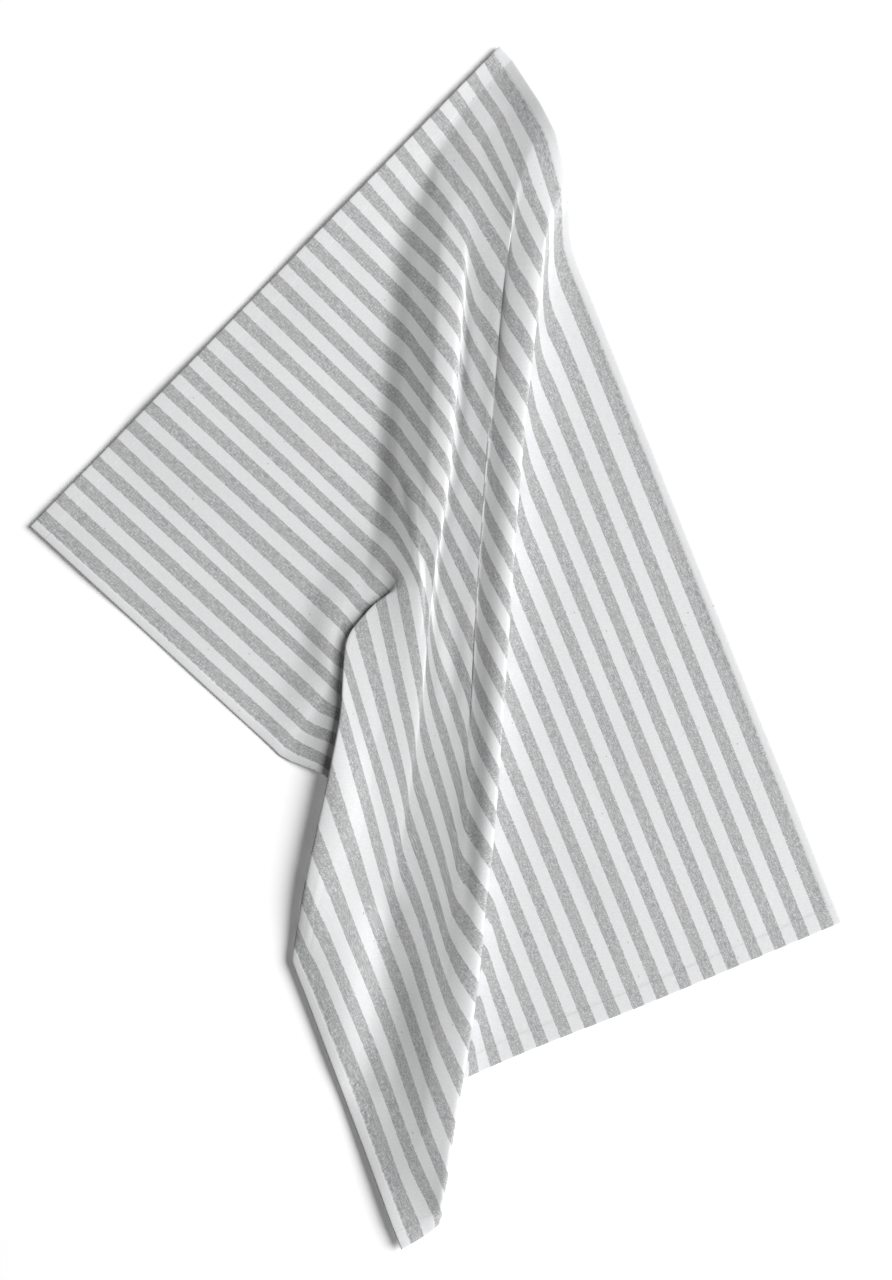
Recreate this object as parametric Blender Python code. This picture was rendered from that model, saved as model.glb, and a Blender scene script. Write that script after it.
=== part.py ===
"""A striped cotton tea towel, 500 x 700 mm, lying on a table where it was dropped.

The towel is one sheet. Its upper end and its left half lie flat, its right half lies flat at another
angle, and the spare cloth between them stands up in three pleats that lean to the right. The lower left
part is folded back over itself into a flap that points down the table.

The table FOLDS says where the folds run. Each row is one fold, followed from the right side edge of the
cloth (across = 0) to the left one (across = 500). Every thread along the towel goes from the upper end,
over and under the folds in the order of the rows, to the lower end, so the sheet is a loft of threads.
"""

from collections import namedtuple

import bmesh
import bpy
import numpy as np

MM = 0.001
WIDTH = 500.0        # mm, side edge to side edge, the towel laid flat
SHEET = 1.2          # mm, the cloth with its nap
REST = SHEET / 2     # mm, from the sheet's middle to either face, and to the table where it rests
THREADS = 46         # cells across the width
ROUNDING = 2         # passes that soften the folds

NOSE_REACH = 0.55    # how far a nose's top lies behind its foremost line, as a share of its height
NOSE_REACH_MIN = 2.0  # mm, added to that reach
NOSE_DROP = 0.45     # how far the foremost line is below the top, as a share of the whole drop
UNDER_REACH = 0.5    # how far it curls back underneath, as a share of the top's reach
TUCK_RADIUS = 2.0    # mm, the bend where cloth is folded under
TUCK_DROP = 0.25     # the most that the bend's radius may be, as a share of the whole drop
NEAR = 0.4           # the most of the way to the next fold that a turn may take up
OVERHANG = 4.0       # mm by which the cloth has to double back for a turn to have its full shape

CLOTH_COLOUR = (0.72, 0.73, 0.74, 1.0)
CLOTH_ROUGHNESS = 0.9

# turn:     "nose" rolls over a ridge, "tuck" doubles back underneath, "flat" does neither
# upper:    the side, before or after the fold, on which its upper layer lies
# cells:    cells of the loft on the way to this fold from the one before
# stations: (across, x, y, height) in mm: across the cloth, then on the table, with x = y = 0 in the
#           middle of the towel's box, then the height of the cloth's upper face. At 1 it lies flat.
#           Where the stations stop short of a side edge, the fold has died out.
Fold = namedtuple("Fold", "name turn upper cells stations")

FOLDS = (
    Fold("upper end", "flat", None, 0, (
        (0, 47, 447, 3), (250, -128, 268, 4), (500, -302, 90, 3),
    )),
    Fold("panel", "flat", None, 7, (
        (0, 58, 436, 3), (69, 17, 378, 2), (163, -29, 291, 1), (240, -38, 193, 1), (296, -45, 124, 1),
        (333, -52, 74, 2), (371, -67, 26, 4), (409, -74, -5, 4), (428, -80, -29, 3), (447, -88, -44, 2),
        (466, -97, -59, 2), (500, -113, -77, 2),
    )),
    Fold("left slope", "flat", None, 2, (
        (163, -12, 273, 5), (201, -17, 227, 5), (240, -22, 178, 5), (277, -25, 130, 6), (314, -30, 82, 6),
    )),
    Fold("mouth", "flat", None, 1, (
        (333, -47, 64, 4), (371, -64, 20, 4), (390, -67, 0, 3), (409, -69, -12, 2), (428, -70, -32, 2),
        (447, -71, -48, 2), (466, -74, -68, 2), (500, -81, -96, 2),
    )),
    Fold("flap root", "tuck", "after", 2, (
        (333, -41, 52, 5), (371, -60, 15, 4), (390, -58, -18, 3), (428, -45, -72, 2), (466, -38, -120, 3),
        (500, -44, -157, 2),
    )),
    Fold("flap nose", "nose", "after", 2, (
        (325, -29, 47, 17), (352, -43, 34, 17), (377, -64, 8, 17), (390, -69, -24, 17), (428, -79, -90, 17),
        (466, -97, -177, 15), (500, -107, -231, 11),
    )),
    Fold("left nose", "nose", "before", 4, (
        (0, 78, 401, 5), (31, 58, 370, 8), (106, 16, 323, 9), (144, 21, 262, 17), (201, 17, 180, 23),
        (258, 10, 106, 25), (296, 0, 61, 24), (320, -6, 6, 22), (352, -15, -76, 19), (390, -26, -140, 16),
        (428, -44, -205, 13),
    )),
    Fold("left tuck", "tuck", "before", 2, (
        (31, 58, 364, 7), (106, 18, 311, 6), (144, 18, 245, 4), (201, 9, 152, 4), (258, -2, 76, 4),
        (296, -7, 20, 6), (320, -9, -15, 9), (352, -17, -88, 12), (390, -27, -152, 12), (428, -38, -221, 11),
    )),
    Fold("left foot", "flat", None, 2, (
        (31, 59, 359, 8), (106, 22, 291, 7), (144, 25, 227, 6), (201, 19, 131, 6), (258, 5, 57, 8),
        (296, -1, -10, 11), (320, -5, -45, 12), (352, -16, -100, 12), (390, -25, -160, 12),
        (428, -32, -237, 10),
    )),
    Fold("middle nose", "nose", "before", 2, (
        (0, 88, 379, 6), (31, 60, 354, 9), (69, 55, 308, 11), (106, 49, 251, 14), (144, 45, 190, 18),
        (220, 36, 68, 19), (296, 24, -70, 18), (352, 12, -182, 15), (390, -2, -231, 13), (428, -20, -270, 10),
    )),
    Fold("middle tuck", "tuck", "before", 1, (
        (31, 61, 347, 8), (69, 53, 297, 8), (106, 46, 238, 9), (144, 39, 174, 10), (220, 30, 52, 12),
        (296, 21, -80, 13), (352, 12, -190, 12), (390, 0, -241, 11), (428, -16, -287, 9),
    )),
    Fold("middle foot", "flat", None, 1, (
        (31, 64, 340, 9), (69, 55, 288, 9), (106, 49, 225, 10), (144, 44, 160, 11), (220, 34, 38, 13),
        (296, 23, -92, 14), (352, 13, -200, 13), (390, 3, -252, 12), (428, -12, -302, 10),
    )),
    Fold("right nose", "nose", "before", 2, (
        (0, 97, 348, 8), (31, 81, 303, 14), (69, 74, 247, 19), (144, 61, 124, 24), (220, 52, 0, 25),
        (296, 43, -128, 22), (352, 32, -225, 19), (409, 19, -325, 15), (450, 8, -400, 11),
        (470, 1, -420, 8), (485, -15, -426, 6), (500, -34, -427, 5),
    )),
    Fold("right tuck", "tuck", "before", 3, (
        (0, 100, 329, 3), (31, 82, 287, 2), (69, 61, 220, 2), (144, 32, 73, 2), (220, 4, -70, 2),
        (296, -27, -206, 2), (352, -36, -292, 2), (381, -39, -347, 3), (392, -29, -352, 5), (409, -15, -357, 4),
        (450, 1, -408, 3),
    )),
    Fold("right foot", "flat", None, 3, (
        (0, 101, 309, 2), (31, 82, 265, 1), (69, 69, 189, 1), (144, 55, 19, 1), (220, 41, -146, 1),
        (296, 22, -292, 1), (352, -26, -317, 1), (381, -38, -353, 1), (392, -33, -360, 5), (409, -23, -369, 4),
        (450, -3, -413, 2),
    )),
    Fold("lower end", "flat", None, 5, (
        (0, 302, -204, 1), (150, 164, -262, 1), (296, 29, -317, 1), (352, -17, -341, 1), (381, -37, -359, 1),
        (392, -38, -368, 5), (409, -30, -381, 4), (450, -6, -418, 1), (470, 0, -430, 3),
        (485, -11, -438, 4), (500, -26, -447, 4),
    )),
)


def clear_scene():
    for item in list(bpy.data.objects):
        bpy.data.objects.remove(item, do_unlink=True)


def smooth_curve(marks, values, at):
    """Read a smooth curve through the values, one that never swings past them."""
    gaps = np.diff(marks)
    slopes = np.diff(values, axis=0) / gaps[:, None]
    tangents = np.zeros_like(values)
    tangents[0] = slopes[0]
    tangents[-1] = slopes[-1]
    weight_in = (2 * gaps[1:] + gaps[:-1])[:, None]
    weight_out = (gaps[1:] + 2 * gaps[:-1])[:, None]
    same_way = slopes[:-1] * slopes[1:] > 0
    before = np.where(same_way, slopes[:-1], 1.0)
    after = np.where(same_way, slopes[1:], 1.0)
    mean = (weight_in + weight_out) / (weight_in / before + weight_out / after)
    tangents[1:-1] = np.where(same_way, mean, 0.0)

    cell = np.clip(np.searchsorted(marks, at, side="right") - 1, 0, len(gaps) - 1)
    gap = gaps[cell][:, None]
    t = ((at - marks[cell]) / gaps[cell])[:, None]
    return (
        (1 + 2 * t) * (1 - t) ** 2 * values[cell]
        + t * (1 - t) ** 2 * gap * tangents[cell]
        + t * t * (3 - 2 * t) * values[cell + 1]
        - t * t * (1 - t) * gap * tangents[cell + 1]
    )


def read_fold(stations, across):
    """Where a fold is at the given places across the cloth."""
    rows = np.array(stations, dtype=float)
    return smooth_curve(rows[:, 0], rows[:, 1:], np.asarray(across, dtype=float))


def stations_to_both_edges():
    """The stations of each fold, with more where it has died out: there they lie evenly between the
    folds before and after it, so that the cloth runs on undisturbed."""
    marks = sorted({station[0] for fold in FOLDS for station in fold.stations})
    filled = [list(fold.stations) for fold in FOLDS]
    for mark in marks:
        shows = [fold.stations[0][0] <= mark <= fold.stations[-1][0] for fold in FOLDS]
        known = [index for index, here in enumerate(shows) if here]
        places = np.array([read_fold(FOLDS[index].stations, [mark])[0] for index in known])
        for index, here in enumerate(shows):
            if not here:
                even = [np.interp(index, known, places[:, axis]) for axis in range(3)]
                filled[index].append((mark, *even))
    return [sorted(stations) for stations in filled]


def sideways(line, neighbour):
    """How far a neighbouring fold lies to the side of a line, at each place along it."""
    way = neighbour[:, :2] - line[:, :2]
    along = np.gradient(line[:, :2], axis=0)
    return (way[:, 0] * along[:, 1] - way[:, 1] * along[:, 0]) / np.linalg.norm(along, axis=1)


def beside(line, neighbour, reach, height):
    """A line that runs beside a fold at the given reach, towards a neighbouring fold."""
    distance = np.maximum(np.abs(sideways(line, neighbour)), 0.01)
    share = np.minimum(reach / distance, NEAR)
    return np.column_stack((line[:, :2] + (neighbour - line)[:, :2] * share[:, None], height))


def lines_of_fold(fold, line, before, after):
    """The lines that a thread crosses at one fold, in order, and the cells that lead to each."""
    if fold.turn == "flat":
        return [line], [fold.cells]
    upper, lower = (before, after) if fold.upper == "before" else (after, before)
    height = line[:, 2]
    drop = height - lower[:, 2] if fold.turn == "nose" else upper[:, 2] - height
    sides = sideways(line, upper), sideways(line, lower)
    overhang = np.where(sides[0] * sides[1] > 0, np.minimum(*np.abs(sides)), 0.0)
    drop = np.minimum(overhang / OVERHANG, 1.0) * np.maximum(drop, 0.0)
    radius = np.minimum(TUCK_RADIUS, TUCK_DROP * drop)
    if fold.turn == "nose":
        reach = NOSE_REACH * height + NOSE_REACH_MIN
        top = beside(line, upper, reach, height)
        middle = beside(line, upper, 0.0, height - NOSE_DROP * drop)
        bottom = beside(line, lower, UNDER_REACH * reach, height - drop + 2 * radius)
        cells = [2, 1]
    else:
        top = beside(line, upper, TUCK_RADIUS, height + 2 * radius)
        middle = beside(line, upper, 0.0, height + radius)
        bottom = beside(line, lower, TUCK_RADIUS, height)
        cells = [1, 1]
    if fold.upper == "before":
        return [top, middle, bottom], [fold.cells] + cells
    return [bottom, middle, top], [fold.cells] + cells[::-1]


def loft_threads(across):
    """Points of the sheet's middle surface, in mm: one row for each thread, from the upper end down."""
    folds = [read_fold(stations, across) for stations in stations_to_both_edges()]
    lines = []
    cells = []
    for index, fold in enumerate(FOLDS):
        before = folds[max(index - 1, 0)]
        after = folds[min(index + 1, len(folds) - 1)]
        fold_lines, fold_cells = lines_of_fold(fold, folds[index], before, after)
        lines += fold_lines
        cells += fold_cells

    rows = []
    for stops in np.stack(lines, axis=1):
        lengths = np.maximum(np.linalg.norm(np.diff(stops, axis=0), axis=1), 0.1)
        marks = np.concatenate(([0.0], np.cumsum(lengths)))
        steps = [np.linspace(marks[i], marks[i + 1], n, endpoint=False) for i, n in enumerate(cells[1:])]
        rows.append(smooth_curve(marks, stops, np.concatenate(steps + [marks[-1:]])))
    sheet = np.array(rows)
    for _ in range(ROUNDING):
        sheet[:, 1:-1] = (sheet[:, :-2] + 2 * sheet[:, 1:-1] + sheet[:, 2:]) / 4
    sheet[..., 2] = np.maximum(sheet[..., 2] - REST, REST)
    return sheet


def make_cloth_material():
    material = bpy.data.materials.new("striped cotton")
    material.use_nodes = True
    shader = material.node_tree.nodes["Principled BSDF"]
    shader.inputs["Base Color"].default_value = CLOTH_COLOUR
    shader.inputs["Roughness"].default_value = CLOTH_ROUGHNESS
    shader.inputs["Metallic"].default_value = 0.0
    material.diffuse_color = CLOTH_COLOUR
    return material


def make_towel():
    sheet = loft_threads(np.linspace(0.0, WIDTH, THREADS + 1))
    across_cells = sheet.shape[0] - 1
    along_cells = sheet.shape[1] - 1
    weave = bmesh.new()
    bmesh.ops.create_grid(weave, x_segments=across_cells, y_segments=along_cells, size=1.0)
    for vert in weave.verts:
        thread = round((vert.co.x + 1) / 2 * across_cells)
        stop = round((1 - vert.co.y) / 2 * along_cells)
        vert.co = sheet[thread, stop] * MM
    bmesh.ops.reverse_faces(weave, faces=weave.faces)
    mesh = bpy.data.meshes.new("towel")
    weave.to_mesh(mesh)
    weave.free()
    mesh.shade_smooth()
    mesh.materials.append(make_cloth_material())

    towel = bpy.data.objects.new("towel", mesh)
    bpy.context.scene.collection.objects.link(towel)
    thickness = towel.modifiers.new("thickness", "SOLIDIFY")
    thickness.thickness = SHEET * MM
    thickness.offset = 0.0
    thickness.use_quality_normals = True


def main():
    clear_scene()
    make_towel()


main()
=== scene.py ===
"""The looks of a striped cotton tea towel, 500 x 700 mm, lying on a table where it was dropped.

The towel is one sheet, lofted from threads that run along it. FOLDS says where the folds run: each row is
one fold, followed from the right side edge of the cloth (across = 0) to the left one (across = 500). Every
thread goes from the upper end, over and under the folds in the order of the rows, to the lower end.
CALMS then evens out the folds that are soft ones, and CREASES adds the soft troughs and ridges of the cloth
between the folds.
"""

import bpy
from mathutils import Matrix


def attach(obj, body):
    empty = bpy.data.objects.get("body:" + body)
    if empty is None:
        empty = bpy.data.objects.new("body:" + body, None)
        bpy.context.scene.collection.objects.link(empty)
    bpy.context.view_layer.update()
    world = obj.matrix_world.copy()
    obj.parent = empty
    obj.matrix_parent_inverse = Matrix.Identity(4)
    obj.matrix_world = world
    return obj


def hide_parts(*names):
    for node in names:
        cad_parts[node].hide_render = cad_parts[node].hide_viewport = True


bl_info = {
    "name": "Tea Towel",
    "version": (1, 0, 0),
    "blender": (4, 5, 0),
    "location": "3D View > Sidebar > Tea Towel",
    "description": "Lays a striped cotton tea towel in soft folds, with its hems and its stage",
    "category": "Object",
}

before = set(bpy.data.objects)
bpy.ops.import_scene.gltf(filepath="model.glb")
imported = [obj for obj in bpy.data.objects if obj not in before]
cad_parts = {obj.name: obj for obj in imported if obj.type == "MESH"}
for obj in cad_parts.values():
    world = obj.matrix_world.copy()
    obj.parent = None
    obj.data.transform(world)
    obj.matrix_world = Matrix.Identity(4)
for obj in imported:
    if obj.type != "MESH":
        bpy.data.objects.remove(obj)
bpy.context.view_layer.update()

from collections import namedtuple

import bmesh
import bpy
import numpy as np
from bpy.props import FloatProperty, FloatVectorProperty, IntProperty, PointerProperty
from mathutils import Vector, noise

MM = 0.001

WIDTH = 500.0          # mm, side edge to side edge, the towel laid flat
LENGTH = 700.0         # mm, end to end
STRIPES = 26           # grey stripes across the width
STRIPE_PITCH = 19.04   # mm from one grey stripe to the next
STRIPE_WIDTH = 9.4     # mm, one grey stripe
STRIPE_START = 7.3     # mm, the white border before the first stripe
STRIPE_BLUR = 0.3      # mm, half of a stripe's soft edge
STRIPE_WAVER = 1.1     # mm, how much a stripe's edges waver

REST = 0.7             # mm from a fold's height down to the sheet's middle
DENSE = 1.0            # mm between the points in which a thread is smoothed
SOFTNESS = 2.3         # mm, how far the smoothing reaches along a thread
EVENNESS = 1.6         # threads, how far it reaches across them

NOSE_REACH = 0.22      # how far a nose's top lies behind its foremost line, as a share of the drop there
NOSE_REACH_MIN = 1.5   # mm, added to that reach
NOSE_DROP = 0.06       # how far the foremost line is below the top, as a share of the whole drop
UNDER_REACH = 0.5      # how far it curls back underneath, as a share of the top's reach
TUCK_RADIUS = 1.2      # mm, the bend where cloth is folded under
TUCK_DROP = 0.25       # the most that the bend's radius may be, as a share of the whole drop
NOSE_CELLS = (4, 3)    # cells of the sheet round a nose, from its top to its foremost line and on from there
TUCK_CELLS = (2, 2)    # the same round a tuck
NEAR = 0.4             # the most of the way to the next fold that a turn may take up
OVERHANG = 4.0         # mm by which the cloth has to double back for a turn to have its full shape
FADE = 30.0            # mm across the cloth in which a fold dies out
BEND_RUN = 30.0        # mm beside a fold in which a long straight run of cloth bends towards it
LYING = 1.5            # mm, the height at which a straight run lies before it rises to a fold
SINK = 0.08            # the steepest that it comes down to there

EDGE_ROWS = (0.0, 0.5, 1.4, 3.0)                # mm from an edge, the rows of the sheet beside it
SEAM_ROWS = (-3.5, -1.6, -1.0, -0.4, 0.4, 1.4)  # mm from a hem's inner edge, the rows beside that
SEAM_INSET = 1.0       # mm from a hem's inner edge to its seam
HEM_GAP = 1.0          # mm from the last row beside an end hem to the next one
HEM_RUN = 45.0         # mm from there in which the rows draw together to make room for those of the hem

EDGE_PLACES = (0.0, 0.5, 1.4)         # mm from an edge, where it rounds
EDGE_SHARES = (0.55, 0.85, 1.0)       # the thickness there, as a share of the hem's
SEAM_PLACES = (-1.6, -0.5, 0.0, 0.5)  # mm from a seam, where it is drawn in
SEAM_SHARES = (1.0, 0.93, 0.8, 0.8)   # the thickness there, as a share of the hem's
SINGLE_FROM = 0.4                     # mm from a hem's inner edge to where the cloth is single

RIPPLE_SIZE = 70.0     # mm, one ripple
RIPPLE_SEED = 3.7      # picks the pattern of the ripples

STITCH_LIFT = 0.2      # how far a stitch's middle stands above the cloth, as a share of the thread's radius
STITCH_SINK = 0.8      # how far its ends are drawn in, as a share of the same
STITCH_END = 0.4       # how far from its middle its ends begin, as a share of its length

TABLE_REACH = 6.0                # m from the middle of the table to its edges
LIGHT_PLACE = (4.58, 0.4, 3.78)  # m, the main light, which points at the towel's middle
LIGHT_SIZE = 4.68                # m across
VIEW_MIDDLE = (7.1, 5.6)         # mm, the place on the table in the middle of the picture

# turn:     "nose" rolls over a ridge, "tuck" doubles back underneath, "flat" does neither
# upper:    the side, before or after the fold, on which its upper layer lies
# cells:    cells of the sheet on the way to this fold from the one before. Two counts mean that this way
#           is straight, but for a bend of BEND_RUN beside the fold at the end with fewer cells.
# stations: (across, x, y, height) in mm: across the cloth, then on the table, with x = y = 0 in the
#           middle of the towel's box, then the height of the cloth's upper face. At 1 it lies flat.
#           Where the stations stop short of a side edge, the fold has died out.
Fold = namedtuple("Fold", "name turn upper cells stations")

FOLDS = (
    Fold("upper end", "flat", None, 0, (
        (0, 47, 447, 5), (250, -128, 268, 5), (500, -302, 90, 4),
    )),
    Fold("panel", "flat", None, (20, 6), (
        (0, 56, 438, 4), (12, 46, 425, 4), (31, 32, 415, 3), (50, 20, 400, 3), (69, 11, 383, 3),
        (88, -1, 366, 2), (107, -10, 347.5, 2), (163, -32, 294, 1), (240, -42, 197, 1), (296, -47, 128, 1),
        (317, -49, 98, 2), (336, -51, 77, 4), (355, -55, 57, 5), (374, -63, 40, 6), (393, -74, 24, 6),
        (412, -80, -3, 6), (431, -81, -21, 5.5), (450, -91, -38, 5), (469, -102, -54, 4), (488, -113, -66, 3),
        (500, -121, -76, 2),
    )),
    Fold("left slope", "flat", None, 6, (
        (107, -1, 338, 6), (126, -7, 318.5, 6.5), (163, -16, 277.5, 7.5), (201, -21, 232, 8),
        (240, -26, 183, 8), (277, -30, 136, 8.5), (317, -34, 86, 9), (336, -42, 69, 8), (355, -48, 49, 7),
        (374, -57, 32, 6.5), (393, -69, 19, 6), (412, -75, -8, 5.5), (431, -76, -26, 5), (450, -86, -43, 4.5),
        (469, -97, -59, 3.5), (488, -108, -71, 2.5), (500, -116, -81, 2),
    )),
    Fold("mouth", "flat", None, 4, (
        (298, -21.5, 92, 14), (317, -21, 67, 15.5), (336, -32, 57, 12), (355, -38, 40, 8.5),
        (374, -48, 25, 8), (393, -61, 7, 8), (412, -68, -12, 8), (431, -69, -32, 8), (450, -71, -51, 8),
        (469, -75, -68, 7.5), (488, -80, -86, 7), (500, -83, -95, 6.5),
    )),
    Fold("flap root", "tuck", "after", 5, (
        (298, -18, 86, 16), (317, -16, 57, 17.5), (336, -28, 52, 14), (355, -34, 36, 10), (374, -43, 20, 9),
        (393, -51, 0, 8), (428, -45, -60, 7), (466, -38, -115, 5), (500, -44, -150, 4),
    )),
    Fold("flap nose", "nose", "after", 5, (
        (298, -14, 81, 17.5), (317, -11, 46, 18.5), (336, -26, 43, 16), (355, -42, 37, 12.5),
        (374, -57, 22, 11.5), (384, -67, 9, 11.5), (393, -69, -5, 11.5), (412, -71, -44, 13),
        (428, -79, -88, 15.5), (466, -98, -175, 14), (500, -108, -231, 7.5),
    )),
    Fold("left crest", "flat", None, 4, (
        (107, 9, 325, 10.5), (126, 4.5, 305, 12), (144, 3, 284, 14), (201, -1, 203.5, 17.7),
        (240, -4, 153, 18), (258, -5.5, 127, 18.5), (277, -8, 106, 18.5), (296, -10, 78, 17.5),
    )),
    Fold("left nose", "nose", "before", 12, (
        (0, 78, 403, 13), (12, 62, 400, 9), (31, 47, 393, 6.5), (50, 35, 377, 7), (69, 30, 356, 9),
        (88, 26, 331, 11), (107, 22, 305, 13), (126, 22, 283, 14.5), (144, 21, 262, 16), (201, 17, 180, 19.5),
        (258, 10, 106, 20), (296, 0, 61, 17.5), (320, -6, 6, 11.6), (352, -15, -76, 9.3), (390, -26, -140, 7),
        (428, -42, -205, 5),
    )),
    Fold("left tuck", "tuck", "before", 5, (
        (126, 21, 268, 10), (144, 18, 245, 8), (201, 9, 152, 8), (258, -2, 76, 10), (296, -7, 20, 12),
        (320, -9, -15, 9.3), (352, -17, -88, 8), (390, -27, -152, 6), (428, -36, -221, 5),
    )),
    Fold("left foot", "flat", None, 5, (
        (126, 27, 251, 12), (144, 25, 227, 12.5), (201, 19, 131, 13), (258, 5, 57, 12.5), (296, 0, -10, 12),
        (320, -5, -45, 9.5), (352, -15, -100, 9), (390, -24, -160, 7), (428, -31, -237, 6),
    )),
    Fold("valley", "flat", None, 3, (
        (279, 12, -2, 11), (298, 12, -39, 10), (336, 3, -99, 9), (374, -8, -158, 8), (412, -20, -217, 6.5),
        (431, -28, -250, 6), (450, -34, -281, 6), (469, -34, -337, 8), (488, -52, -341, 5.5),
        (500, -66, -342, 4.5),
    )),
    Fold("middle nose", "nose", "before", 4, (
        (0, 89, 381, 16), (12, 75, 377, 15.5), (31, 64, 352, 16.5), (50, 58, 331, 17.5), (69, 56, 314, 17.5),
        (106, 50, 254, 17), (144, 45, 190, 17), (220, 36, 68, 16.5), (296, 24, -70, 15), (352, 12, -182, 15),
        (370, 7, -206, 14.5),
    )),
    Fold("middle tuck", "tuck", "before", 3, (
        (50, 59, 322, 17), (69, 54, 300, 17), (106, 46, 238, 16.5), (144, 39, 174, 16.5), (220, 30, 52, 16),
        (296, 21, -80, 14.5), (352, 12, -190, 15), (370, 9, -214, 14.8),
    )),
    Fold("middle foot", "flat", None, 3, (
        (50, 62, 312, 18), (69, 54, 289, 17.8), (106, 47, 226, 17.8), (144, 43, 160, 17.8),
        (220, 34, 38, 17.3), (296, 26, -93, 16), (317, 23, -130, 16), (336, 20, -165, 16),
        (355, 16, -198, 17), (390, 8, -252, 18), (428, -7, -302, 17.5), (450, -8.5, -359, 16.5),
        (469, -20, -374, 13), (488, -36, -384, 9), (500, -49.5, -385, 7),
    )),
    Fold("right nose", "nose", "before", 7, (
        (0, 98, 346, 13), (12, 89, 328, 17), (31, 82, 309, 20.5), (69, 75, 247, 22.5), (144, 62, 124, 22.5),
        (220, 53, 0, 22.5), (296, 44, -126, 22), (317, 41, -158, 22), (336, 37, -190, 21.5),
        (355, 34, -222, 21), (374, 30, -256, 21), (393, 25, -291, 21), (412, 19, -325, 20.5),
        (431, 13, -361, 19), (450, 8, -399, 16), (470, 1, -420, 11), (485, -15, -426, 8.5),
        (500, -34, -427, 8),
    )),
    Fold("right tuck", "tuck", "before", 7, (
        (0, 99, 327, 8), (12, 89, 314, 6), (31, 82, 290, 2), (69, 61, 220, 2), (144, 32, 73, 2),
        (220, 4, -70, 2), (296, -27, -206, 2), (352, -36, -292, 2), (381, -39, -347, 2),
        (392, -29, -352, 3.5), (409, -15, -357, 3.5), (450, 1, -408, 3),
    )),
    Fold("right foot", "flat", None, 6, (
        (0, 100, 306, 3), (12, 90, 296, 2), (31, 81, 268, 1), (69, 69, 189, 1), (144, 55, 19, 1),
        (220, 41, -146, 1), (296, 22, -292, 1), (352, -26, -317, 1), (381, -38, -353, 1), (392, -33, -360, 3),
        (409, -23, -369, 3), (450, -3, -413, 2),
    )),
    Fold("right panel", "flat", None, 4, (
        (0, 104, 290, 1), (12, 94, 281, 1), (31, 82, 251, 1), (69, 73, 170, 1), (144, 57.5, 11.5, 1),
        (220, 42, -150, 1), (296, 27, -300, 1),
    )),
    Fold("lower end", "flat", None, (4, 16), (
        (0, 302, -204, 1), (150, 164, -262, 1), (296, 29, -317, 1), (352, -17, -341, 1), (381, -37, -359, 1),
        (392, -38, -368, 3), (409, -30, -381, 3), (450, -6, -418, 1), (470, 0, -430, 4),
        (485, -11, -438, 5.5), (500, -26, -447, 7),
    )),
)

# The soft creases. after and before name the folds between which the crease lies, path is (x, y) in mm
# on the table, width is from its middle to where it ends, and rise is up or, when negative, down.
Crease = namedtuple("Crease", "name after before width rise path")

CREASES = (
    Crease("flap trough", "flap nose", "right nose", 20, -3.0, (
        (-38, -200), (-46, -262), (-54, -322),
    )),
    Crease("flap roll", "flap nose", "left crest", 15, 1.2, (
        (-50, -50), (-60, -95), (-78, -175), (-86, -215),
    )),
)

# Where the folds are evened out, from one row of the sheet to another. after and before each name a fold
# and say how many rows on from it that row is. reach is how many points the evening out takes in, and it
# fades in and out over fade rows. It is full where y on the table is below full, in mm, and there is none
# where y is above start.
Calm = namedtuple("Calm", "after before reach start full fade")

CALMS = (
    # the left fold is a soft one
    Calm(("left nose", -16), ("left foot", 2), 3.8, 340.0, 320.0, 6.0),
    # near the loose end, all folds run out into each other
    Calm(("flap nose", 4), ("right nose", -5), 4.5, 60.0, -90.0, 12.0),
)


# ---------------------------------------------------------------- the loft of threads

def ease(share):
    """Turn an even way from 0 to 1 into one that starts and ends softly."""
    return share * share * (3 - 2 * share)


def smooth_curve(marks, values, at):
    """Read a smooth curve through the values, one that never swings past them."""
    gaps = np.diff(marks)
    slopes = np.diff(values, axis=0) / gaps[:, None]
    tangents = np.zeros_like(values)
    tangents[0] = slopes[0]
    tangents[-1] = slopes[-1]
    weight_in = (2 * gaps[1:] + gaps[:-1])[:, None]
    weight_out = (gaps[1:] + 2 * gaps[:-1])[:, None]
    same_way = slopes[:-1] * slopes[1:] > 0
    before = np.where(same_way, slopes[:-1], 1.0)
    after = np.where(same_way, slopes[1:], 1.0)
    mean = (weight_in + weight_out) / (weight_in / before + weight_out / after)
    tangents[1:-1] = np.where(same_way, mean, 0.0)

    cell = np.clip(np.searchsorted(marks, at, side="right") - 1, 0, len(gaps) - 1)
    gap = gaps[cell][:, None]
    t = ((at - marks[cell]) / gaps[cell])[:, None]
    return (
        (1 + 2 * t) * (1 - t) ** 2 * values[cell]
        + t * (1 - t) ** 2 * gap * tangents[cell]
        + t * t * (3 - 2 * t) * values[cell + 1]
        - t * t * (1 - t) * gap * tangents[cell + 1]
    )


def read_fold(stations, across):
    """Where a fold is at the given places across the cloth."""
    rows = np.array(stations, dtype=float)
    return smooth_curve(rows[:, 0], rows[:, 1:], np.asarray(across, dtype=float))


def fold_line(fold, across):
    """Where a fold runs at the given places across the cloth, carried straight on where it has died out,
    and how fully it shows there."""
    first = fold.stations[0][0]
    last = fold.stations[-1][0]
    inside = np.clip(across, first, last)
    beyond = across - inside
    line = read_fold(fold.stations, inside)
    slope = line - read_fold(fold.stations, inside - np.sign(beyond))
    line = line + slope * np.clip(np.abs(beyond), 0.0, FADE)[:, None]
    share = np.clip(1.0 - np.abs(beyond) / FADE, 0.0, 1.0)
    return line, ease(share)[:, None]


def fold_met(lines, shows):
    """The fold that a thread meets before each one, passing over those that have died out."""
    met = [lines[0]]
    for line, show in zip(lines[:-1], shows[:-1]):
        met.append(show * line + (1 - show) * met[-1])
    return met


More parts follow.
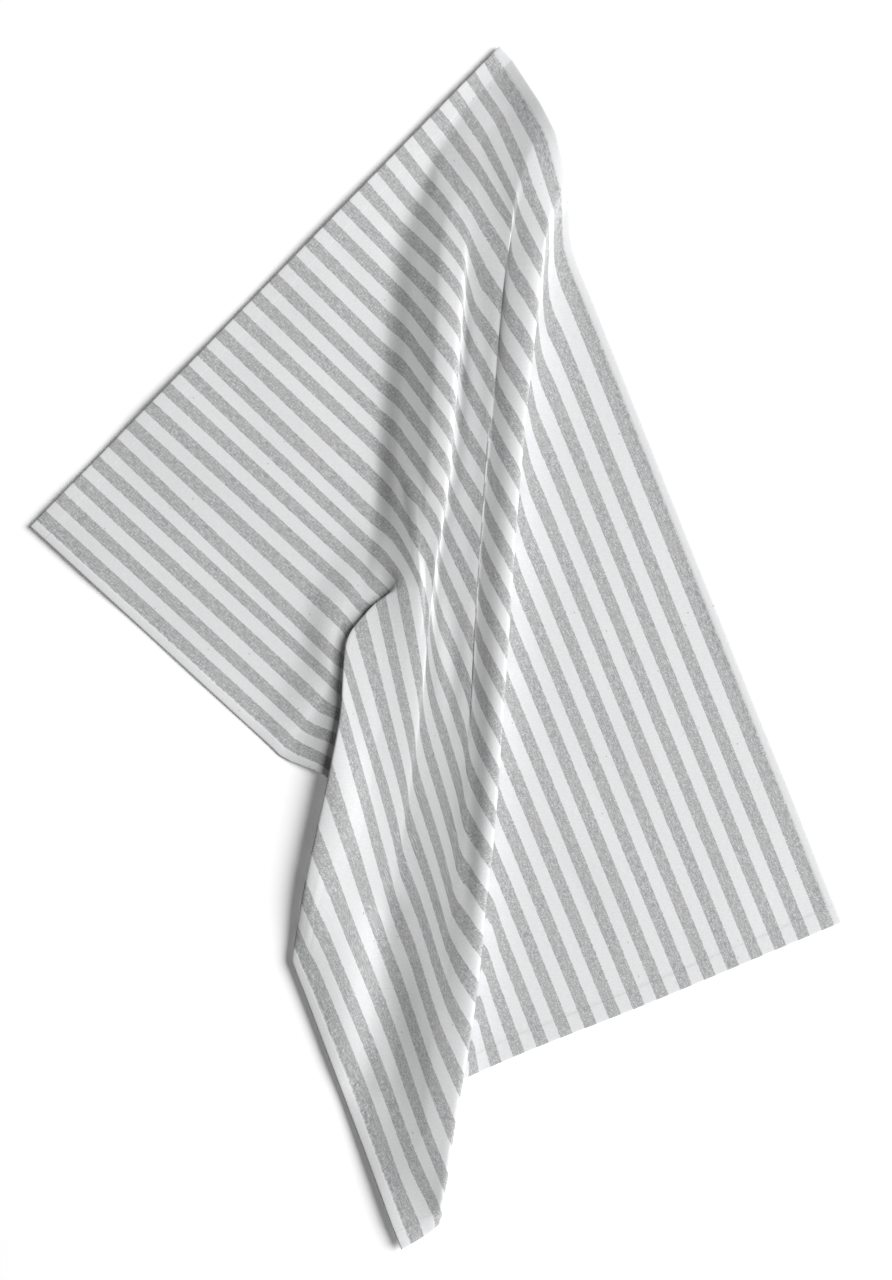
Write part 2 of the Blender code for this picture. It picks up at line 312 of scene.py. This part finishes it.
def lay_evenly(lines, shows):
    """Where a fold has died out, lay its lines evenly between the folds that show before and after it."""
    sides = []
    for way in (1, -1):
        run = [(lines[::way][0], np.zeros_like(shows[0]))]
        for line, show in zip(lines[::way][:-1], shows[::way][:-1]):
            place, gap = run[-1]
            run.append((show * line + (1 - show) * place, 1 + (1 - show) * gap))
        sides.append(run[::way])
    laid = []
    for line, show, (start, gap_in), (end, gap_out) in zip(lines, shows, *sides):
        even = (start * gap_out + end * gap_in) / np.maximum(gap_in + gap_out, 1e-9)
        laid.append(show * line + (1 - show) * even)
    return laid


def sideways(line, neighbour):
    """How far a neighbouring fold lies to the side of a line, at each place along it."""
    way = neighbour[:, :2] - line[:, :2]
    along = np.gradient(line[:, :2], axis=0)
    length = np.maximum(np.linalg.norm(along, axis=1), 1e-6)
    return (way[:, 0] * along[:, 1] - way[:, 1] * along[:, 0]) / length


def beside(line, neighbour, reach, height, full):
    """A line that runs beside a fold at the given reach, towards a neighbouring fold. It has the given
    height where the turn is full, and lies on the straight way there where the cloth doesn't double back."""
    distance = np.maximum(np.abs(sideways(line, neighbour)), 0.01)
    share = np.minimum(reach / distance, NEAR)[:, None]
    place = line + (neighbour - line) * share
    place[:, 2] += full * (height - place[:, 2])
    return place


def lines_of_fold(fold, line, before, after):
    """The lines that a thread crosses at one fold, in order, and the cells that lead to each."""
    if isinstance(fold.cells, tuple):
        way = line - before
        share = np.minimum(BEND_RUN / np.maximum(np.linalg.norm(way, axis=1), 1.0), NEAR)[:, None]
        if fold.cells[0] < fold.cells[1]:
            return [before + way * share, line], list(fold.cells)
        bend = line - way * share
        lowest = before[:, 2] - SINK * np.linalg.norm(bend - before, axis=1)
        bend[:, 2] = np.minimum(bend[:, 2], np.maximum(lowest, LYING))
        return [bend, line], list(fold.cells)
    if fold.turn == "flat":
        return [line], [fold.cells]
    upper, lower = (before, after) if fold.upper == "before" else (after, before)
    height = line[:, 2]
    drop = height - lower[:, 2] if fold.turn == "nose" else upper[:, 2] - height
    sides = sideways(line, upper), sideways(line, lower)
    overhang = np.where(sides[0] * sides[1] > 0, np.minimum(*np.abs(sides)), 0.0)
    full = np.minimum(overhang / OVERHANG, 1.0)
    drop = full * np.maximum(drop, 0.0)
    radius = np.minimum(TUCK_RADIUS, TUCK_DROP * drop)
    if fold.turn == "nose":
        reach = NOSE_REACH * drop + NOSE_REACH_MIN
        top = beside(line, upper, reach, height, full)
        middle = beside(line, upper, 0.0, height - NOSE_DROP * drop, full)
        bottom = beside(line, lower, UNDER_REACH * reach, height - drop + 2 * radius, full)
        cells = list(NOSE_CELLS)
    else:
        top = beside(line, upper, TUCK_RADIUS, height + 2 * radius, full)
        middle = beside(line, upper, 0.0, height + radius, full)
        bottom = beside(line, lower, TUCK_RADIUS, height, full)
        cells = list(TUCK_CELLS)
    if fold.upper == "before":
        return [top, middle, bottom], [fold.cells] + cells
    return [bottom, middle, top], [fold.cells] + cells[::-1]


def soften(curve, reach):
    """Smooth a dense curve, the ends held, with a bell of the given reach in points."""
    span = int(3 * reach)
    bell = np.exp(-0.5 * (np.arange(-span, span + 1) / reach) ** 2)
    bell /= bell.sum()
    first = 2 * curve[0] - curve[span:0:-1]
    last = 2 * curve[-1] - curve[-2:-span - 2:-1]
    padded = np.concatenate((first, curve, last))
    return np.stack([np.convolve(padded[:, axis], bell, mode="valid") for axis in range(3)], axis=1)


def rows_beside_hem(hem):
    """Distances from an edge, in mm, of the rows that give a hem its rounded edge and its seam."""
    return EDGE_ROWS + tuple(hem + place for place in SEAM_ROWS)


def spread(count, hem, size):
    """Even places from 0 to size, with closer ones beside both edges."""
    close = rows_beside_hem(hem)
    inner = np.linspace(close[-1], size - close[-1], count)[1:-1]
    return np.concatenate((close, inner, [size - place for place in close[::-1]]))


def loft_threads(across, end_hem):
    """The sheet's middle surface in mm, one row for each thread from the upper end down, how far along the
    cloth each point lies, and the row on which each fold ends."""
    folds, shows = zip(*(fold_line(fold, across) for fold in FOLDS))
    befores = fold_met(folds, shows)
    afters = fold_met(folds[::-1], shows[::-1])[::-1]
    lines = []
    cells = []
    line_shows = []
    rows_of_folds = {}
    for index, fold in enumerate(FOLDS):
        fold_lines, fold_cells = lines_of_fold(fold, folds[index], befores[index], afters[index])
        lines += fold_lines
        cells += fold_cells
        line_shows += [shows[index]] * len(fold_lines)
        rows_of_folds[fold.name] = sum(cells[1:])
    lines = lay_evenly(lines, line_shows)

    close = np.array(rows_beside_hem(end_hem))
    rows = []
    alongs = []
    for stops in np.stack(lines, axis=1):
        lengths = np.maximum(np.linalg.norm(np.diff(stops, axis=0), axis=1), 0.1)
        marks = np.concatenate(([0.0], np.cumsum(lengths)))
        dense = smooth_curve(marks, stops, np.linspace(0.0, marks[-1], int(marks[-1] / DENSE) + 1))
        dense = soften(dense, SOFTNESS / DENSE)
        steps = np.linalg.norm(np.diff(dense, axis=0), axis=1)
        run = np.concatenate(([0.0], np.cumsum(steps)))
        share = [np.linspace(marks[i], marks[i + 1], n, endpoint=False) for i, n in enumerate(cells[1:])]
        end = run[-1]
        inner = np.concatenate(share + [marks[-1:]]) / marks[-1] * end
        near = close[-1] + HEM_GAP
        far = near + HEM_RUN
        inner = np.interp(inner, (0, far, end - far, end), (near, far, end - far, end - near))
        at = np.concatenate((close, inner, end - close[::-1]))
        rows.append(np.stack([np.interp(at, run, dense[:, axis]) for axis in range(3)], axis=1))
        alongs.append(at / end * LENGTH)
    offset = len(close)
    rows_of_folds = {name: row + offset for name, row in rows_of_folds.items()}
    sheet = np.array(rows)
    for row in range(sheet.shape[1]):
        sheet[:, row] = soften(sheet[:, row], EVENNESS)
    return sheet, np.array(alongs), rows_of_folds


def calm_folds(sheet, rows_of_folds):
    """Even out the sheet where its folds are soft ones or run out into each other."""
    for calm in CALMS:
        first, last = (rows_of_folds[name] + rows for name, rows in (calm.after, calm.before))
        part = sheet[:, first:last]
        even = part.copy()
        for thread in even:
            thread[:] = soften(thread, calm.reach)
        for row in range(even.shape[1]):
            even[:, row] = soften(even[:, row], calm.reach)
        share = ease(np.clip((part[..., 1] - calm.start) / (calm.full - calm.start), 0.0, 1.0))
        within = np.arange(last - first)
        fade = np.clip(np.minimum(within, within[::-1]) / calm.fade, 0.0, 1.0)
        part += (share * fade)[..., None] * (even - part)


def distance_to_path(points, path):
    """How far each (x, y) point lies from a broken line."""
    nearest = np.full(points.shape[:-1], np.inf)
    for start, end in zip(np.array(path[:-1], float), np.array(path[1:], float)):
        way = end - start
        share = np.clip(((points - start) @ way) / (way @ way), 0.0, 1.0)
        gap = np.linalg.norm(points - (start + share[..., None] * way), axis=-1)
        nearest = np.minimum(nearest, gap)
    return nearest


def press_creases(sheet, rows_of_folds):
    """Add the soft creases to the sheet's heights."""
    for crease in CREASES:
        first = rows_of_folds[crease.after]
        last = rows_of_folds[crease.before]
        part = sheet[:, first:last]
        gap = distance_to_path(part[..., :2], crease.path)
        part[..., 2] += crease.rise * np.exp(-0.5 * (gap / (crease.width / 2)) ** 2)


def ripple(sheet, height):
    """Lift the cloth a little and unevenly, as cotton lies on a table."""
    for thread in sheet:
        for point in thread:
            place = Vector((point[0] / RIPPLE_SIZE, point[1] / RIPPLE_SIZE, RIPPLE_SEED))
            point[2] += height * noise.noise(place)


# ---------------------------------------------------------------- materials

def new_material(name, roughness):
    material = bpy.data.materials.new(name)
    material.use_nodes = True
    shader = material.node_tree.nodes["Principled BSDF"]
    shader.inputs["Roughness"].default_value = roughness
    return material, material.node_tree, shader


def math(tree, operation, first, second=None, third=None):
    """One Math node. Each input is a number or a socket."""
    node = tree.nodes.new("ShaderNodeMath")
    node.operation = operation
    for index, value in enumerate((first, second, third)):
        if value is None:
            continue
        if isinstance(value, (int, float)):
            node.inputs[index].default_value = value
        else:
            tree.links.new(value, node.inputs[index])
    return node.outputs[0]


def step(tree, value, start, end, low=0.0, high=1.0):
    """A soft step from low to high between start and end."""
    node = tree.nodes.new("ShaderNodeMapRange")
    node.interpolation_type = "SMOOTHSTEP"
    tree.links.new(value, node.inputs["Value"])
    node.inputs["From Min"].default_value = start
    node.inputs["From Max"].default_value = end
    node.inputs["To Min"].default_value = low
    node.inputs["To Max"].default_value = high
    return node.outputs["Result"]


def opaque(colour):
    """A colour of three numbers with the fourth that its socket asks for."""
    return tuple(colour) + (1.0,)


def mix_colours(tree, factor, first, second):
    """One Mix node, from the first colour at 0 to the second at 1."""
    node = tree.nodes.new("ShaderNodeMix")
    node.data_type = "RGBA"
    for value, socket in ((factor, node.inputs[0]), (first, node.inputs[6]), (second, node.inputs[7])):
        if isinstance(value, (int, float, tuple)):
            socket.default_value = value
        else:
            tree.links.new(value, socket)
    return node.outputs[2]


def streaks(tree, cloth_place, across, along, detail=2.0):
    """Uneven threads: a noise of so many grains a metre across and along the cloth."""
    mapping = tree.nodes.new("ShaderNodeMapping")
    mapping.inputs["Scale"].default_value = (across, along, 1.0)
    tree.links.new(cloth_place, mapping.inputs["Vector"])
    grain = tree.nodes.new("ShaderNodeTexNoise")
    grain.noise_dimensions = "2D"
    grain.inputs["Scale"].default_value = 1.0
    grain.inputs["Detail"].default_value = detail
    grain.inputs["Roughness"].default_value = 0.6
    tree.links.new(mapping.outputs["Vector"], grain.inputs["Vector"])
    return grain.outputs["Fac"]


def make_striped_cotton(colours, hems):
    """Plain-woven cotton, white with grey melange stripes along it. It follows the UV map, in metres."""
    material, tree, shader = new_material("striped_cotton", 0.88)
    shader.inputs["Sheen Weight"].default_value = 0.25
    shader.inputs["Sheen Roughness"].default_value = 0.6
    shader.inputs["Specular IOR Level"].default_value = 0.15

    uv = tree.nodes.new("ShaderNodeUVMap")
    uv.uv_map = "cloth"
    place = uv.outputs["UV"]
    parts = tree.nodes.new("ShaderNodeSeparateXYZ")
    tree.links.new(place, parts.inputs[0])
    across = parts.outputs["X"]
    along = parts.outputs["Y"]

    # the stripes: distance from the middle of the nearest grey one, its edge a little uneven
    waver = streaks(tree, place, 60.0, 420.0)
    waver = math(tree, "MULTIPLY_ADD", waver, STRIPE_WAVER * MM, -STRIPE_WAVER * MM / 2)
    shifted = math(tree, "ADD", across, waver)
    first_middle = (STRIPE_START + STRIPE_WIDTH / 2) * MM
    number = math(tree, "DIVIDE", math(tree, "SUBTRACT", shifted, first_middle), STRIPE_PITCH * MM)
    number = math(tree, "MINIMUM", math(tree, "ROUND", math(tree, "MAXIMUM", number, 0.0)), STRIPES - 1.0)
    middle = math(tree, "MULTIPLY_ADD", number, STRIPE_PITCH * MM, first_middle)
    from_middle = math(tree, "ABSOLUTE", math(tree, "SUBTRACT", shifted, middle))
    half = STRIPE_WIDTH * MM / 2
    stripe = step(tree, from_middle, half - STRIPE_BLUR * MM, half + STRIPE_BLUR * MM, 1.0, 0.0)

    # the melange of the grey yarn: light and dark flecks, drawn out along the threads
    warp = streaks(tree, place, 1300.0, 190.0)
    weft = streaks(tree, place, 260.0, 1500.0)
    cloud = streaks(tree, place, 60.0, 38.0, 3.0)
    fleck = math(tree, "MULTIPLY", warp, 0.55)
    fleck = math(tree, "MULTIPLY_ADD", weft, 0.45, fleck)
    dark = step(tree, fleck, 0.38, 0.62)
    grey = mix_colours(tree, dark, opaque(colours.grey_dark), opaque(colours.grey_light))
    mottle = step(tree, cloud, 0.35, 0.7)
    grey = mix_colours(tree, math(tree, "MULTIPLY", mottle, 0.35), grey, opaque(colours.grey_warm))

    # light specks of white weft in the grey, and a few dark slubs all over
    speck = streaks(tree, place, 700.0, 900.0, 0.0)
    speck = step(tree, speck, 0.70, 0.80)
    grey = mix_colours(tree, math(tree, "MULTIPLY", speck, 0.6), grey, opaque(colours.white))
    white_tone = step(tree, weft, 0.3, 0.7)
    white = mix_colours(tree, white_tone, opaque(colours.white_shade), opaque(colours.white))
    colour = mix_colours(tree, stripe, white, grey)
    slub = streaks(tree, place, 420.0, 260.0, 0.0)
    slub = step(tree, slub, 0.93, 0.96)
    colour = mix_colours(tree, math(tree, "MULTIPLY", slub, 0.5), colour, opaque(colours.slub))

    # painted shade: the seams of the hems are drawn a little darker, in the slub colour, as the shade in
    # their drawn-in grooves
    from_side = math(tree, "MINIMUM", across, math(tree, "SUBTRACT", WIDTH * MM, across))
    from_end = math(tree, "MINIMUM", along, math(tree, "SUBTRACT", LENGTH * MM, along))
    side_seam = math(tree, "ABSOLUTE", math(tree, "SUBTRACT", from_side, hems.side_hem - SEAM_INSET * MM))
    end_seam = math(tree, "ABSOLUTE", math(tree, "SUBTRACT", from_end, hems.end_hem - SEAM_INSET * MM))
    seam = math(tree, "MINIMUM", side_seam, end_seam)
    seam = step(tree, seam, 0.2 * MM, 1.1 * MM, 1.0, 0.0)
    colour = mix_colours(tree, math(tree, "MULTIPLY", seam, 0.05), colour, opaque(colours.slub))
    tree.links.new(colour, shader.inputs["Base Color"])

    # relief: threads both ways, then the seam
    relief = math(tree, "MULTIPLY_ADD", warp, 0.5, math(tree, "MULTIPLY", weft, 0.5))
    fine = streaks(tree, place, 2400.0, 2400.0, 0.0)
    relief = math(tree, "MULTIPLY_ADD", fine, 0.25, relief)
    relief = math(tree, "MULTIPLY_ADD", seam, -0.6, relief)
    bump = tree.nodes.new("ShaderNodeBump")
    bump.inputs["Strength"].default_value = 0.55
    bump.inputs["Distance"].default_value = 0.22 * MM
    tree.links.new(relief, bump.inputs["Height"])
    tree.links.new(bump.outputs["Normal"], shader.inputs["Normal"])
    return material


def make_sewing_thread(colours):
    material, tree, shader = new_material("sewing_thread", 0.7)
    shader.inputs["Sheen Weight"].default_value = 0.2
    place = tree.nodes.new("ShaderNodeTexCoord").outputs["Object"]
    grain = tree.nodes.new("ShaderNodeTexNoise")
    grain.inputs["Scale"].default_value = 2500.0
    tree.links.new(place, grain.inputs["Vector"])
    tone = step(tree, grain.outputs["Fac"], 0.3, 0.7)
    colour = mix_colours(tree, tone, opaque(colours.thread_shade), opaque(colours.thread))
    tree.links.new(colour, shader.inputs["Base Color"])
    return material


def make_table_white(stage):
    material, tree, shader = new_material("table_white", 0.9)
    shader.inputs["Specular IOR Level"].default_value = 0.1
    place = tree.nodes.new("ShaderNodeTexCoord").outputs["Object"]
    grain = tree.nodes.new("ShaderNodeTexNoise")
    grain.inputs["Scale"].default_value = 3.0
    tree.links.new(place, grain.inputs["Vector"])
    tone = step(tree, grain.outputs["Fac"], 0.3, 0.7)
    light = opaque(stage.table_colour)
    shade = opaque(value * 0.99 for value in stage.table_colour)
    tree.links.new(mix_colours(tree, tone, light, shade), shader.inputs["Base Color"])
    shader.inputs["Emission Color"].default_value = (1.0, 1.0, 1.0, 1.0)
    shader.inputs["Emission Strength"].default_value = stage.table_glow
    return material


# ---------------------------------------------------------------- sizes and colours

class ClothSettings(bpy.types.PropertyGroup):
    threads: IntProperty(
        name="Threads", description="Rows of the sheet across the towel", default=196, min=20)
    thickness: FloatProperty(
        name="Cloth thickness", description="One layer of the cotton",
        default=0.6 * MM, min=0.2 * MM, max=2 * MM, unit="LENGTH", subtype="DISTANCE")
    hem_thickness: FloatProperty(
        name="Hem thickness", description="The cloth where it is turned in and sewn",
        default=1.1 * MM, min=0.4 * MM, max=4 * MM, unit="LENGTH", subtype="DISTANCE")
    end_hem: FloatProperty(
        name="End hem", description="Width of the hem at the two short ends",
        default=15 * MM, min=5 * MM, max=40 * MM, unit="LENGTH", subtype="DISTANCE")
    side_hem: FloatProperty(
        name="Side hem", description="Width of the hem along the two long sides",
        default=8.5 * MM, min=5 * MM, max=40 * MM, unit="LENGTH", subtype="DISTANCE")
    ripple_height: FloatProperty(
        name="Ripple height", description="How far the cloth lifts unevenly off the table",
        default=1.4 * MM, min=0.0, max=6 * MM, unit="LENGTH", subtype="DISTANCE")


class CottonSettings(bpy.types.PropertyGroup):
    white: FloatVectorProperty(
        name="White", description="The white stripes", subtype="COLOR", size=3, min=0, max=1,
        default=(0.76, 0.763, 0.77))
    white_shade: FloatVectorProperty(
        name="White shade", description="The white stripes between the threads", subtype="COLOR", size=3,
        min=0, max=1, default=(0.70, 0.704, 0.712))
    grey_light: FloatVectorProperty(
        name="Light grey", description="Light flecks of the grey stripes", subtype="COLOR", size=3,
        min=0, max=1, default=(0.52, 0.524, 0.53))
    grey_dark: FloatVectorProperty(
        name="Dark grey", description="Dark flecks of the grey stripes", subtype="COLOR", size=3,
        min=0, max=1, default=(0.31, 0.314, 0.32))
    grey_warm: FloatVectorProperty(
        name="Warm grey", description="The grey's faint warm patches", subtype="COLOR", size=3,
        min=0, max=1, default=(0.43, 0.427, 0.412))
    # the slub colour is also painted along the hems' seams as their painted shade
    slub: FloatVectorProperty(
        name="Slub", description="Dark slubs and the shade in the seams", subtype="COLOR", size=3,
        min=0, max=1, default=(0.16, 0.165, 0.175))
    thread: FloatVectorProperty(
        name="Thread", description="The sewing thread", subtype="COLOR", size=3, min=0, max=1,
        default=(0.88, 0.88, 0.88))
    thread_shade: FloatVectorProperty(
        name="Thread shade", description="The sewing thread between its plies", subtype="COLOR", size=3,
        min=0, max=1, default=(0.72, 0.72, 0.73))


class StitchSettings(bpy.types.PropertyGroup):
    length: FloatProperty(
        name="Stitch length", description="One stitch", default=2.4 * MM, min=1 * MM, max=8 * MM,
        unit="LENGTH", subtype="DISTANCE")
    gap: FloatProperty(
        name="Gap", description="Between two stitches", default=0.7 * MM, min=0.1 * MM, max=4 * MM,
        unit="LENGTH", subtype="DISTANCE")
    radius: FloatProperty(
        name="Thread radius", description="Half the thread's thickness", default=0.2 * MM,
        min=0.05 * MM, max=1 * MM, unit="LENGTH", subtype="DISTANCE")
    inset: FloatProperty(
        name="Inset", description="From the hem's inner edge to its seam", default=SEAM_INSET * MM,
        min=0.2 * MM, max=5 * MM, unit="LENGTH", subtype="DISTANCE")


class StageSettings(bpy.types.PropertyGroup):
    table_colour: FloatVectorProperty(
        name="Table", description="The plain white table", subtype="COLOR", size=3, min=0, max=1,
        default=(1.0, 1.0, 1.0))
    table_glow: FloatProperty(
        name="Table glow", description="Keeps the table's white even", default=0.1, min=0, max=1)
    camera_height: FloatProperty(
        name="Camera height", description="Straight above the table", default=3.0, min=0.5, max=20,
        unit="LENGTH", subtype="DISTANCE")
    view_length: FloatProperty(
        name="View length", description="What the picture's long side takes in", default=0.9523, min=0.1,
        max=10, unit="LENGTH", subtype="DISTANCE")
    main_power: FloatProperty(
        name="Main light", description="The large soft light on the right", default=582.0, min=0,
        subtype="POWER", unit="POWER")
    fill: FloatProperty(name="Fill", description="The even light of the room", default=0.095, min=0, max=10)


# ---------------------------------------------------------------- the pieces

def hem_thickness_at(distance, hem, plain, doubled):
    """The cloth's thickness at a distance from one edge: rounded edge, doubled hem, drawn-in seam."""
    seam = hem - SEAM_INSET * MM
    marks = [place * MM for place in EDGE_PLACES]
    marks += [seam + place * MM for place in SEAM_PLACES]
    marks.append(hem + SINGLE_FROM * MM)
    values = [share * doubled for share in EDGE_SHARES + SEAM_SHARES] + [plain]
    return np.interp(distance, marks, values)


def cloth_thickness(across, along, cloth):
    from_side = np.minimum(across, WIDTH * MM - across)
    from_end = np.minimum(along, LENGTH * MM - along)
    plain = cloth.thickness
    doubled = cloth.hem_thickness
    side = hem_thickness_at(from_side, cloth.side_hem, plain, doubled)
    end = hem_thickness_at(from_end, cloth.end_hem, plain, doubled)
    edge = np.interp(np.minimum(from_side, from_end), [place * MM for place in EDGE_PLACES], EDGE_SHARES)
    return np.minimum(np.maximum(side, end), edge * doubled)


def lay_sheet(cloth):
    """The sheet's middle in metres, the cloth's own coordinates, and its thickness, at every point."""
    across = spread(cloth.threads, cloth.side_hem / MM, WIDTH)
    sheet, alongs, rows_of_folds = loft_threads(across, cloth.end_hem / MM)
    calm_folds(sheet, rows_of_folds)
    press_creases(sheet, rows_of_folds)
    ripple(sheet, cloth.ripple_height / MM)
    cloth_place = np.stack(np.broadcast_arrays(across[:, None], alongs), axis=-1) * MM
    thickness = cloth_thickness(cloth_place[..., 0], cloth_place[..., 1], cloth)
    sheet *= MM
    sheet[..., 2] = np.maximum(sheet[..., 2] - REST * MM, thickness / 2)
    return sheet, cloth_place, thickness


class LayTowel(bpy.types.Operator):
    """Lay the towel's one sheet in its folds, with its hems and its woven stripes"""

    bl_idname = "tea_towel.lay_towel"
    bl_label = "Lay Towel"

    def execute(self, context):
        cloth = context.scene.tea_towel_cloth
        sheet, cloth_place, thickness = lay_sheet(cloth)
        across_cells = sheet.shape[0] - 1
        along_cells = sheet.shape[1] - 1
        weave = bmesh.new()
        bmesh.ops.create_grid(weave, x_segments=across_cells, y_segments=along_cells, size=1.0)
        stops = {}
        for vert in weave.verts:
            thread = round((vert.co.x + 1) / 2 * across_cells)
            stop = round((1 - vert.co.y) / 2 * along_cells)
            stops[vert.index] = (thread, stop)
            vert.co = sheet[thread, stop]
        layer = weave.loops.layers.uv.new("cloth")
        for face in weave.faces:
            for loop in face.loops:
                loop[layer].uv = cloth_place[stops[loop.vert.index]]
        bmesh.ops.reverse_faces(weave, faces=weave.faces)
        mesh = bpy.data.meshes.new("towel_cloth")
        weave.to_mesh(mesh)
        weave.free()
        mesh.shade_smooth()
        mesh.materials.append(make_striped_cotton(context.scene.tea_towel_cotton, cloth))

        towel = bpy.data.objects.new("towel_cloth", mesh)
        context.scene.collection.objects.link(towel)
        most = float(thickness.max())
        layers = towel.vertex_groups.new(name="layers")
        for index, place in stops.items():
            layers.add([index], float(thickness[place]) / most, "REPLACE")
        solid = towel.modifiers.new("thickness", "SOLIDIFY")
        solid.thickness = most
        solid.offset = 0.0
        solid.use_quality_normals = True
        solid.vertex_group = layers.name
        solid.thickness_vertex_group = 0.0

        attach(towel, "root")
        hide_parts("towel")
        return {"FINISHED"}


class SewHems(bpy.types.Operator):
    """Sew the hems with rows of small stitches along both ends and both sides"""

    bl_idname = "tea_towel.sew_hems"
    bl_label = "Sew Hems"

    def execute(self, context):
        cloth = context.scene.tea_towel_cloth
        stitch = context.scene.tea_towel_stitches
        sheet, cloth_place, thickness = lay_sheet(cloth)
        down = np.gradient(sheet, axis=1)
        over = np.gradient(sheet, axis=0)
        up = np.cross(down, over)
        up /= np.maximum(np.linalg.norm(up, axis=-1, keepdims=True), 1e-12)
        top = sheet + up * thickness[..., None] / 2

        threads, rows = sheet.shape[:2]
        side_row = self.row_at(cloth_place[:, rows // 2, 0], cloth.side_hem - stitch.inset)
        end_row = self.row_at(cloth_place[threads // 2, :, 1], cloth.end_hem - stitch.inset)
        seams = (
            (top[side_row], up[side_row]),
            (top[threads - 1 - side_row], up[threads - 1 - side_row]),
            (top[:, end_row], up[:, end_row]),
            (top[:, rows - 1 - end_row], up[:, rows - 1 - end_row]),
        )
        sewing = bmesh.new()
        for points, normals in seams:
            self.sew(sewing, points, normals, stitch)
        mesh = bpy.data.meshes.new("hem_stitches")
        sewing.to_mesh(mesh)
        sewing.free()
        mesh.shade_smooth()
        mesh.materials.append(make_sewing_thread(context.scene.tea_towel_cotton))
        stitches = bpy.data.objects.new("hem_stitches", mesh)
        context.scene.collection.objects.link(stitches)

        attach(stitches, "root")
        return {"FINISHED"}

    @staticmethod
    def row_at(places, wanted):
        return int(np.argmin(np.abs(places - wanted)))

    @staticmethod
    def sew(sewing, points, normals, stitch):
        """Small rounded stitches, end to end along a seam."""
        steps = np.linalg.norm(np.diff(points, axis=0), axis=1)
        run = np.concatenate(([0.0], np.cumsum(steps)))
        pitch = stitch.length + stitch.gap
        for start in np.arange(pitch, run[-1] - pitch, pitch):
            ends = [
                Vector([np.interp(place, run, points[:, axis]) for axis in range(3)])
                for place in (start, start + stitch.length)
            ]
            normal = Vector([np.interp(start, run, normals[:, axis]) for axis in range(3)])
            way = ends[1] - ends[0]
            if way.length < stitch.length / 2:
                continue
            turn = way.to_track_quat("Z", "Y").to_matrix().to_4x4()
            turn.translation = (ends[0] + ends[1]) / 2 + normal * stitch.radius * STITCH_LIFT
            made = bmesh.ops.create_cone(
                sewing, cap_ends=True, cap_tris=False, segments=5, radius1=stitch.radius,
                radius2=stitch.radius, depth=way.length, matrix=turn)
            middle = turn.translation
            for vert in made["verts"]:
                if (vert.co - middle).length > way.length * STITCH_END:
                    vert.co -= normal * stitch.radius * STITCH_SINK


class SetStage(bpy.types.Operator):
    """Set the plain white table, the soft studio light and the camera straight above"""

    bl_idname = "tea_towel.set_stage"
    bl_label = "Set Stage"

    def execute(self, context):
        scene = context.scene
        stage = scene.tea_towel_stage
        top = bmesh.new()
        bmesh.ops.create_grid(top, x_segments=8, y_segments=8, size=TABLE_REACH)
        mesh = bpy.data.meshes.new("table")
        top.to_mesh(mesh)
        top.free()
        mesh.materials.append(make_table_white(stage))
        table = bpy.data.objects.new("table", mesh)
        scene.collection.objects.link(table)

        self.light(scene, "main_light", LIGHT_PLACE, LIGHT_SIZE, stage.main_power)

        world = bpy.data.worlds.new("room")
        world.use_nodes = True
        room = world.node_tree.nodes["Background"]
        room.inputs["Color"].default_value = (1.0, 1.0, 1.0, 1.0)
        room.inputs["Strength"].default_value = stage.fill
        scene.world = world
        scene.view_settings.view_transform = "Standard"

        lens = bpy.data.cameras.new("camera")
        lens.lens = lens.sensor_width * stage.camera_height / stage.view_length
        camera = bpy.data.objects.new("camera", lens)
        camera.location = (VIEW_MIDDLE[0] * MM, VIEW_MIDDLE[1] * MM, stage.camera_height)
        scene.collection.objects.link(camera)
        scene.camera = camera
        return {"FINISHED"}

    @staticmethod
    def light(scene, name, place, size, power):
        lamp = bpy.data.lights.new(name, "AREA")
        lamp.shape = "DISK"
        lamp.size = size
        lamp.energy = power
        item = bpy.data.objects.new(name, lamp)
        item.location = place
        item.rotation_euler = (-Vector(place)).to_track_quat("-Z", "Y").to_euler()
        scene.collection.objects.link(item)


class TowelPanel(bpy.types.Panel):
    """The towel's pieces, with the sizes and colours that can be changed"""

    bl_idname = "VIEW3D_PT_tea_towel"
    bl_label = "Tea Towel"
    bl_space_type = "VIEW_3D"
    bl_region_type = "UI"
    bl_category = "Tea Towel"

    def draw(self, context):
        scene = context.scene
        parts = (
            (LayTowel, scene.tea_towel_cloth, ClothSettings),
            (None, scene.tea_towel_cotton, CottonSettings),
            (SewHems, scene.tea_towel_stitches, StitchSettings),
            (SetStage, scene.tea_towel_stage, StageSettings),
        )
        for operator, settings, group in parts:
            box = self.layout.box()
            for name in group.__annotations__:
                box.prop(settings, name)
            if operator:
                box.operator(operator.bl_idname)


CLASSES = (
    ClothSettings, CottonSettings, StitchSettings, StageSettings, LayTowel, SewHems, SetStage, TowelPanel,
)


def register():
    for item in CLASSES:
        bpy.utils.register_class(item)
    bpy.types.Scene.tea_towel_cloth = PointerProperty(type=ClothSettings)
    bpy.types.Scene.tea_towel_cotton = PointerProperty(type=CottonSettings)
    bpy.types.Scene.tea_towel_stitches = PointerProperty(type=StitchSettings)
    bpy.types.Scene.tea_towel_stage = PointerProperty(type=StageSettings)


def unregister():
    del bpy.types.Scene.tea_towel_stage
    del bpy.types.Scene.tea_towel_stitches
    del bpy.types.Scene.tea_towel_cotton
    del bpy.types.Scene.tea_towel_cloth
    for item in reversed(CLASSES):
        bpy.utils.unregister_class(item)


def main():
    register()
    bpy.ops.tea_towel.lay_towel()
    bpy.ops.tea_towel.sew_hems()
    bpy.ops.tea_towel.set_stage()


if __name__ == "__main__":
    main()
